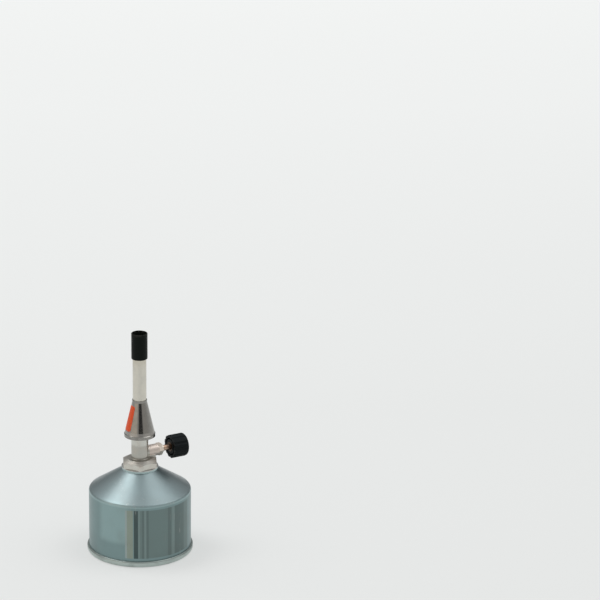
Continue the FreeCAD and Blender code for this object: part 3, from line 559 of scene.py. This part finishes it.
# the spindle: turned copper alloy, browned by heat where it goes into the knob
stem = {
    "copper": (0.47, 0.315, 0.225),
    "rose": (0.56, 0.43, 0.335),
    "brown": (0.10, 0.055, 0.03),
    "brownEdge": (-0.0042, 0.0004),  # metres past the knob's inner end
    "brownedLeast": 0.6,
    "brownedByHaze": 0.7,
    "rings": (9000.0, 0.8),          # marks per metre along the axis, per radian round it
    "haze": (420.0, 4.0),            # spots per metre, detail
    "roseRange": (0.4, 0.65),
    "rough": {"copper": 0.28, "rings": 0.12, "brown": 0.15},
    "bump": (0.00002, 0.3),          # metres, strength
}


def stemFinish():
    material, root = newFinish("copperStem")
    place = Place(root, "x")
    rough = stem["rough"]
    rings = place.lines(*stem["rings"])
    haze = place.cloud(*stem["haze"])
    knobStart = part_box("control_knob")[0].x
    browned = (place.x - knobStart).rise(*stem["brownEdge"])
    browned = browned * (stem["brownedLeast"] + haze * stem["brownedByHaze"])
    colour = haze.rise(*stem["roseRange"]).blend(stem["copper"], stem["rose"])
    look = {
        "Base Color": browned.blend(colour, stem["brown"]),
        "Metallic": 1.0,
        "Roughness": rough["copper"] + rings * rough["rings"] + browned * rough["brown"],
    }
    paint(root, look, rings, *stem["bump"])
    wear(material, "needle_spindle")


stemFinish()

# the knob: black moulded plastic, a fine moulded grain, grey where hands have rubbed the ridges
knob = {
    "black": (0.0075, 0.0105, 0.0115),
    "rubbed": (0.015, 0.019, 0.020),
    "dust": (0.06, 0.06, 0.055),
    "ridge": 0.01085,                # metres from the spindle's axis
    "ridgeEdge": (-0.0003, 0.0),     # metres outside ridge
    "ridgeRange": (0.35, 0.65),
    "dustEdge": (0.0070, 0.0084),    # metres from the spindle's axis
    "dustRange": (0.55, 0.75),
    "dustShare": 0.2,
    "grain": (5200.0, 2.0),          # spots per metre, detail
    "haze": (260.0, 4.0),
    "rough": {"plastic": 0.46, "grain": 0.12, "ridges": 0.1, "dust": 0.2},
    "shine": 0.1,
    "bump": (0.00003, 0.3),          # metres, strength
}


def knobFinish():
    material, root = newFinish("knobBlack")
    place = Place(root, "x")
    rough = knob["rough"]
    grain = place.cloud(*knob["grain"])
    haze = place.cloud(*knob["haze"])
    ridges = (place.radius - knob["ridge"]).rise(*knob["ridgeEdge"]) * haze.rise(*knob["ridgeRange"])
    dust = (1 - place.radius.rise(*knob["dustEdge"])) * haze.rise(*knob["dustRange"]) * knob["dustShare"]
    colour = ridges.blend(knob["black"], knob["rubbed"])
    satin = rough["plastic"] + grain * rough["grain"] - ridges * rough["ridges"] + dust * rough["dust"]
    look = {
        "Base Color": dust.blend(colour, knob["dust"]),
        "Roughness": satin,
        "Specular IOR Level": knob["shine"],
    }
    paint(root, look, grain, *knob["bump"])
    wear(material, "control_knob")


knobFinish()
print("scene: valve body, spindle and knob finished")

# the tube: drawn steel under satin plating, faintly straw coloured by heat below the head
tube = {
    "satin": (0.69, 0.665, 0.59),
    "grey": (0.57, 0.56, 0.51),
    "straw": (0.55, 0.46, 0.31),
    "strawEdge": (-0.011, 0.002),    # metres above the head's foot
    "heatedLeast": 0.12,
    "heatedByHaze": 0.25,
    "drawn": (40.0, 55.0, 3.0),      # lines per metre along the axis, per radian round it, detail
    "haze": (130.0, 4.0),            # spots per metre, detail
    "greyRange": (0.4, 0.7),
    "shares": {"grey": 0.5, "drawn": 0.3},
    "rough": {"satin": 0.34, "drawn": 0.14, "haze": 0.05},
    "bump": (0.00002, 0.22),         # metres, strength
}


def tubeFinish():
    material, root = newFinish("tubeSatin")
    place = Place(root)
    shares, rough = tube["shares"], tube["rough"]
    drawn = place.lines(*tube["drawn"])
    streaks = drawn - pattern["middle"]
    haze = place.cloud(*tube["haze"])
    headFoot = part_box("burner_head")[0].z
    heat = (place.z - headFoot).rise(*tube["strawEdge"])
    heat = heat * (tube["heatedLeast"] + haze * tube["heatedByHaze"])
    grey = haze.rise(*tube["greyRange"]) * shares["grey"] + streaks * shares["drawn"]
    look = {
        "Base Color": heat.blend(grey.blend(tube["satin"], tube["grey"]), tube["straw"]),
        "Metallic": 1.0,
        "Roughness": rough["satin"] + streaks * rough["drawn"] + haze * rough["haze"],
    }
    paint(root, look, drawn, *tube["bump"])
    wear(material, "burner_tube", "air_sleeve")


tubeFinish()

# the bell: polished steel, spun in rings, with smears and pin pricks, brushed just above its rolled foot
bell = {
    "steel": (0.29, 0.28, 0.262),
    "dull": (0.23, 0.22, 0.20),
    "brushed": (0.40, 0.385, 0.36),
    "footZ": 0.10965,                # where the cone starts, and its radius there
    "footRadius": 0.01315,
    "lipZ": 0.1383,
    "lipRadius": 0.00655,
    "rollLow": 0.1063,               # bottom of the rolled foot, which ends at footZ
    "rollSoft": 0.0004,
    "rollRange": (0.45, 0.6),
    "brushedBand": (0.0, 0.0026, 0.0005),     # metres above footZ, softness
    "brushedLeast": 0.6,
    "brushedBySmears": 0.5,
    "spun": (5200.0, 0.6),           # rings per metre along the axis, per radian round it
    "smears": (240.0, 4.0, 0.6),     # spots per metre, detail, how broken
    "smearRange": (0.45, 0.72),
    "pricks": (2400.0, 1.0),         # spots per metre, detail
    "prickRange": (0.7, 0.76),
    "prickDepth": 0.5,
    "shares": {"smears": 0.6, "roll": 0.3, "pricks": 0.5},
    "rough": {"steel": 0.13, "dull": 0.08, "brushed": 0.25, "spun": 0.06, "pricks": 0.2},
    "bump": (0.00001, 0.14),         # metres, strength
}


def bellFinish():
    material, root = newFinish("bellPolish")
    place = Place(root)
    shares, rough = bell["shares"], bell["rough"]
    spun = place.lines(*bell["spun"])
    smears = place.cloud(*bell["smears"])
    pricks = place.cloud(*bell["pricks"]).rise(*bell["prickRange"])
    roll = place.z.between(bell["rollLow"], bell["footZ"], bell["rollSoft"])
    roll = roll * smears.rise(*bell["rollRange"])
    dull = smears.rise(*bell["smearRange"]) * shares["smears"] + roll * shares["roll"]
    brushed = (place.z - bell["footZ"]).between(*bell["brushedBand"])
    brushed = brushed * (bell["brushedLeast"] + smears * bell["brushedBySmears"])
    colour = brushed.blend(dull.blend(bell["steel"], bell["dull"]), bell["brushed"])
    shiny = rough["steel"] + dull * rough["dull"] + brushed * rough["brushed"]
    shiny = shiny + (spun - pattern["middle"]) * rough["spun"] + pricks * rough["pricks"]
    look = {
        "Base Color": (pricks * shares["pricks"]).blend(colour, bell["dull"]),
        "Metallic": 1.0,
        "Roughness": shiny,
    }
    paint(root, look, spun - pricks * bell["prickDepth"], *bell["bump"])
    wear(material, "air_bell")


bellFinish()

# the patch: a plain orange panel of thin film on the bell, rounded at its corners
patch = {
    "orange": (0.87, 0.098, 0.024),
    "faded": (0.87, 0.14, 0.048),
    "scuff": (0.42, 0.10, 0.05),
    "lowZ": 0.1128,
    "highZ": 0.1353,
    "rightEdge": (199.5, 210.0),     # degrees round the axis at the bottom and the top
    "leftEdge": (149.0, 154.0),
    "corner": 0.0018,
    "film": 0.00012,                 # thickness
    "lift": 0.00002,                 # off the bell
    "columns": 61,                   # points round the bell
    "rows": 49,                      # and up it
    "haze": (500.0, 4.0),            # spots per metre, detail
    "fadedRange": (0.42, 0.7),
    "grain": (6000.0, 1.0),
    "scuffs": (2600.0, (0.5, 0.2, 0.9)),      # cells per metre, tilt in radians
    "scuffShare": 0.7,
    "scuffDepth": 0.4,
    "rough": {"film": 0.36, "haze": 0.16},
    "shine": 0.25,
    "bump": (0.00001, 0.2),          # metres, strength
}


def patchFinish():
    material, root = newFinish("patchOrange")
    place = Place(root)
    haze = place.cloud(*patch["haze"])
    grain = place.cloud(*patch["grain"])
    scuffs = place.scratches(*patch["scuffs"])
    colour = haze.rise(*patch["fadedRange"]).blend(patch["orange"], patch["faded"])
    look = {
        "Base Color": (scuffs * haze * patch["scuffShare"]).blend(colour, patch["scuff"]),
        "Roughness": patch["rough"]["film"] + haze * patch["rough"]["haze"],
        "Specular IOR Level": patch["shine"],
    }
    paint(root, look, grain + scuffs * patch["scuffDepth"], *patch["bump"])
    return material


# u runs round the bell and v up it, both from -1 to 1; the radius falls evenly with height as the
# cone's does, and near the top and bottom a quarter circle takes the corner off the width
def bellPatch():
    around = np.linspace(-1.0, 1.0, patch["columns"])
    upward = np.linspace(-1.0, 1.0, patch["rows"])
    u, v = np.meshgrid(around, upward)
    half = (patch["highZ"] - patch["lowZ"]) / 2
    z = patch["lowZ"] + half * (v + 1)
    flare = (bell["footRadius"] - bell["lipRadius"]) / (bell["lipZ"] - bell["footZ"])
    radius = bell["footRadius"] - flare * (z - bell["footZ"]) + patch["lift"]
    corner = patch["corner"]
    into = np.clip(half * np.abs(v) - (half - corner), 0.0, corner)
    inset = corner - np.sqrt(corner ** 2 - into ** 2)
    right = np.radians(np.interp(v, [-1.0, 1.0], patch["rightEdge"]))
    left = np.radians(np.interp(v, [-1.0, 1.0], patch["leftEdge"]))
    angle = (left + right) / 2 + u * ((right - left) / 2 - inset / radius)
    points = np.stack([radius * np.cos(angle), radius * np.sin(angle), z], axis=-1).reshape(-1, 3)
    rows, columns = u.shape
    start = (np.arange(rows - 1)[:, None] * columns + np.arange(columns - 1)).ravel()
    faces = np.stack([start, start + 1, start + 1 + columns, start + columns], axis=-1)
    made = newPiece("bell_patch", points, faces, patchFinish())
    film = made.modifiers.new("film", "SOLIDIFY")
    film.thickness = patch["film"]
    film.offset = 1.0   # outwards
    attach(made, "air_control")


bellPatch()
print("scene: tube, bell and patch finished")

# the burner head: black enamel, greyed at its mouth by heat, with a little rust at its foot
head = {
    "black": (0.0055, 0.0085, 0.007),
    "ash": (0.045, 0.042, 0.038),
    "rust": (0.035, 0.02, 0.012),
    "burntEdge": (-0.003, 0.0),      # metres above the top
    "burntRange": (0.3, 0.65),
    "innerEdge": (0.0063, 0.0066),   # metres from the axis
    "rustEdge": (0.0, 0.0008),       # metres above the foot
    "rustRange": (0.5, 0.65),
    "peel": (1800.0, 2.0),           # spots per metre, detail
    "haze": (330.0, 4.0),
    "shares": {"burnt": 0.7, "inner": 0.5, "rust": 0.8},
    "rough": {"enamel": 0.4, "haze": 0.1, "burnt": 0.3, "inner": 0.2},
    "shine": 0.1,
    "bump": (0.00003, 0.2),          # metres, strength
}


def headFinish():
    material, root = newFinish("headBlack")
    place = Place(root)
    shares, rough = head["shares"], head["rough"]
    footCorner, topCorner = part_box("burner_head")
    peel = place.cloud(*head["peel"])
    haze = place.cloud(*head["haze"])
    burnt = (place.z - topCorner.z).rise(*head["burntEdge"]) * haze.rise(*head["burntRange"])
    inner = 1 - place.radius.rise(*head["innerEdge"])
    rust = (1 - (place.z - footCorner.z).rise(*head["rustEdge"])) * haze.rise(*head["rustRange"])
    colour = (burnt * shares["burnt"] + inner * shares["inner"]).blend(head["black"], head["ash"])
    satin = rough["enamel"] + haze * rough["haze"] + burnt * rough["burnt"] + inner * rough["inner"]
    look = {
        "Base Color": (rust * shares["rust"]).blend(colour, head["rust"]),
        "Roughness": satin,
        "Specular IOR Level": head["shine"],
    }
    paint(root, look, peel, *head["bump"])
    wear(material, "burner_head")


# the grid: steel gone brown and blue with heat, sooty in places
grid = {
    "steel": (0.22, 0.20, 0.18),
    "straw": (0.24, 0.15, 0.07),
    "blue": (0.09, 0.10, 0.16),
    "soot": (0.015, 0.014, 0.013),
    "tints": [(0.3, "steel"), (0.45, "straw"), (0.58, "blue"), (0.72, "steel")],
    "haze": (420.0, 3.0),            # spots per metre, detail, as in the next two
    "sooty": (900.0, 4.0),
    "grain": (4000.0, 2.0),
    "sootRange": (0.5, 0.7),
    "metalLost": 0.8,
    "rough": {"steel": 0.42, "soot": 0.4},
    "bump": (0.00003, 0.3),          # metres, strength
}


def gridFinish():
    material, root = newFinish("gridSteel")
    place = Place(root)
    stops = [(spot, grid[name]) for spot, name in grid["tints"]]
    colour = root.node("ValToRGB", {"stops": stops}, {0: place.cloud(*grid["haze"])})
    soot = place.cloud(*grid["sooty"]).rise(*grid["sootRange"])
    look = {
        "Base Color": soot.blend(colour, grid["soot"]),
        "Metallic": 1 - soot * grid["metalLost"],
        "Roughness": grid["rough"]["steel"] + soot * grid["rough"]["soot"],
    }
    paint(root, look, place.cloud(*grid["grain"]), *grid["bump"])
    wear(material, "flame_grid")


headFinish()
gridFinish()
print("scene: head and grid finished")

# the other metal pieces: lathe rings or drawn lines over a colour with duller stains
lathe = {
    "stains": (4.0, 0.6),            # detail, how broken
    "stainRange": (0.46, 0.7),
    "rough": {"marks": 0.16, "stains": 0.16},
    "bump": (0.00002, 0.25),         # metres, strength
}
metals = {
    # painted highlight: the nut much lighter than the nickel it is plated with
    "nickelNutHighlight": {
        "nodes": ["gland_nut"], "axis": "x", "colour": (0.84, 0.76, 0.67), "stain": (0.66, 0.57, 0.48),
        "rings": 8000.0, "turns": 1.0, "stains": 500.0, "rough": 0.42,
    },
    "tinplate": {
        "nodes": ["valve_cup"], "axis": "z", "colour": (0.55, 0.56, 0.55), "stain": (0.38, 0.39, 0.39),
        "rings": 2500.0, "turns": 3.0, "stains": 260.0, "rough": 0.28,
    },
    "brass": {
        "nodes": ["valve_plunger", "depressor", "jet"], "axis": "z",
        "colour": (0.52, 0.37, 0.14), "stain": (0.28, 0.18, 0.07),
        "rings": 9000.0, "turns": 1.0, "stains": 700.0, "rough": 0.28,
    },
    "darkBronze": {
        "nodes": ["knob_insert"], "axis": "x", "colour": (0.085, 0.05, 0.03), "stain": (0.03, 0.02, 0.014),
        "rings": 9000.0, "turns": 1.0, "stains": 600.0, "rough": 0.42,
    },
    "springSteel": {
        "nodes": ["plunger_spring", "spindle_stop_ring", "stop_pin"], "axis": "z",
        "colour": (0.46, 0.46, 0.46), "stain": (0.30, 0.29, 0.28),
        "rings": 3000.0, "turns": 8.0, "stains": 900.0, "rough": 0.3,
    },
    "blackSteel": {
        "nodes": ["knob_grub_screw"], "axis": "z",
        "colour": (0.03, 0.03, 0.031), "stain": (0.07, 0.05, 0.035),
        "rings": 6000.0, "turns": 1.0, "stains": 1500.0, "rough": 0.42,
    },
    "softCopper": {
        "nodes": ["jet_washer"], "axis": "z", "colour": (0.54, 0.24, 0.13), "stain": (0.24, 0.12, 0.08),
        "rings": 1500.0, "turns": 6.0, "stains": 1100.0, "rough": 0.38,
    },
}


def metalFinish(name, metal):
    material, root = newFinish(name)
    place = Place(root, metal["axis"])
    rough = lathe["rough"]
    marks = place.lines(metal["rings"], metal["turns"])
    dull = place.cloud(metal["stains"], *lathe["stains"]).rise(*lathe["stainRange"])
    look = {
        "Base Color": dull.blend(metal["colour"], metal["stain"]),
        "Metallic": 1.0,
        "Roughness": metal["rough"] + (marks - pattern["middle"]) * rough["marks"] + dull * rough["stains"],
    }
    paint(root, look, marks, *lathe["bump"])
    wear(material, *metal["nodes"])


for name, metal in metals.items():
    metalFinish(name, metal)

# what isn't metal, and the sintered disc: grain in the surface, a second colour in clouds
grained = {
    "clouds": (300.0, 4.0),          # spots per metre, detail
    "cloudRange": (0.4, 0.7),
    "cloudRough": 0.12,
    "bump": 0.35,
}
grains = {
    "whitePlastic": {
        "nodes": ["spring_housing", "gland_packing"],
        "colour": (0.68, 0.68, 0.65), "cloudy": (0.60, 0.59, 0.54),
        "grain": 2200.0, "depth": 0.00002, "rough": 0.48, "metal": 0.0,
    },
    "rubber": {
        "nodes": ["valve_gasket", "coupling_seal"],
        "colour": (0.012, 0.012, 0.012), "cloudy": (0.032, 0.031, 0.03),
        "grain": 4500.0, "depth": 0.00004, "rough": 0.62, "metal": 0.0,
    },
    "sinteredBronze": {
        "nodes": ["inlet_filter"], "colour": (0.34, 0.21, 0.09), "cloudy": (0.20, 0.12, 0.05),
        "grain": 7000.0, "depth": 0.00012, "rough": 0.5, "metal": 0.9,
    },
}


def grainFinish(name, stuff):
    material, root = newFinish(name)
    place = Place(root)
    beads = root.node("TexVoronoi", None, {"Vector": place.point, "Scale": stuff["grain"]})
    cloudy = place.cloud(*grained["clouds"]).rise(*grained["cloudRange"])
    look = {
        "Base Color": cloudy.blend(stuff["colour"], stuff["cloudy"]),
        "Metallic": stuff["metal"],
        "Roughness": stuff["rough"] + cloudy * grained["cloudRough"],
    }
    paint(root, look, 1 - beads, stuff["depth"], grained["bump"])
    wear(material, *stuff["nodes"])


for name, stuff in grains.items():
    grainFinish(name, stuff)
print("scene: finishes done")
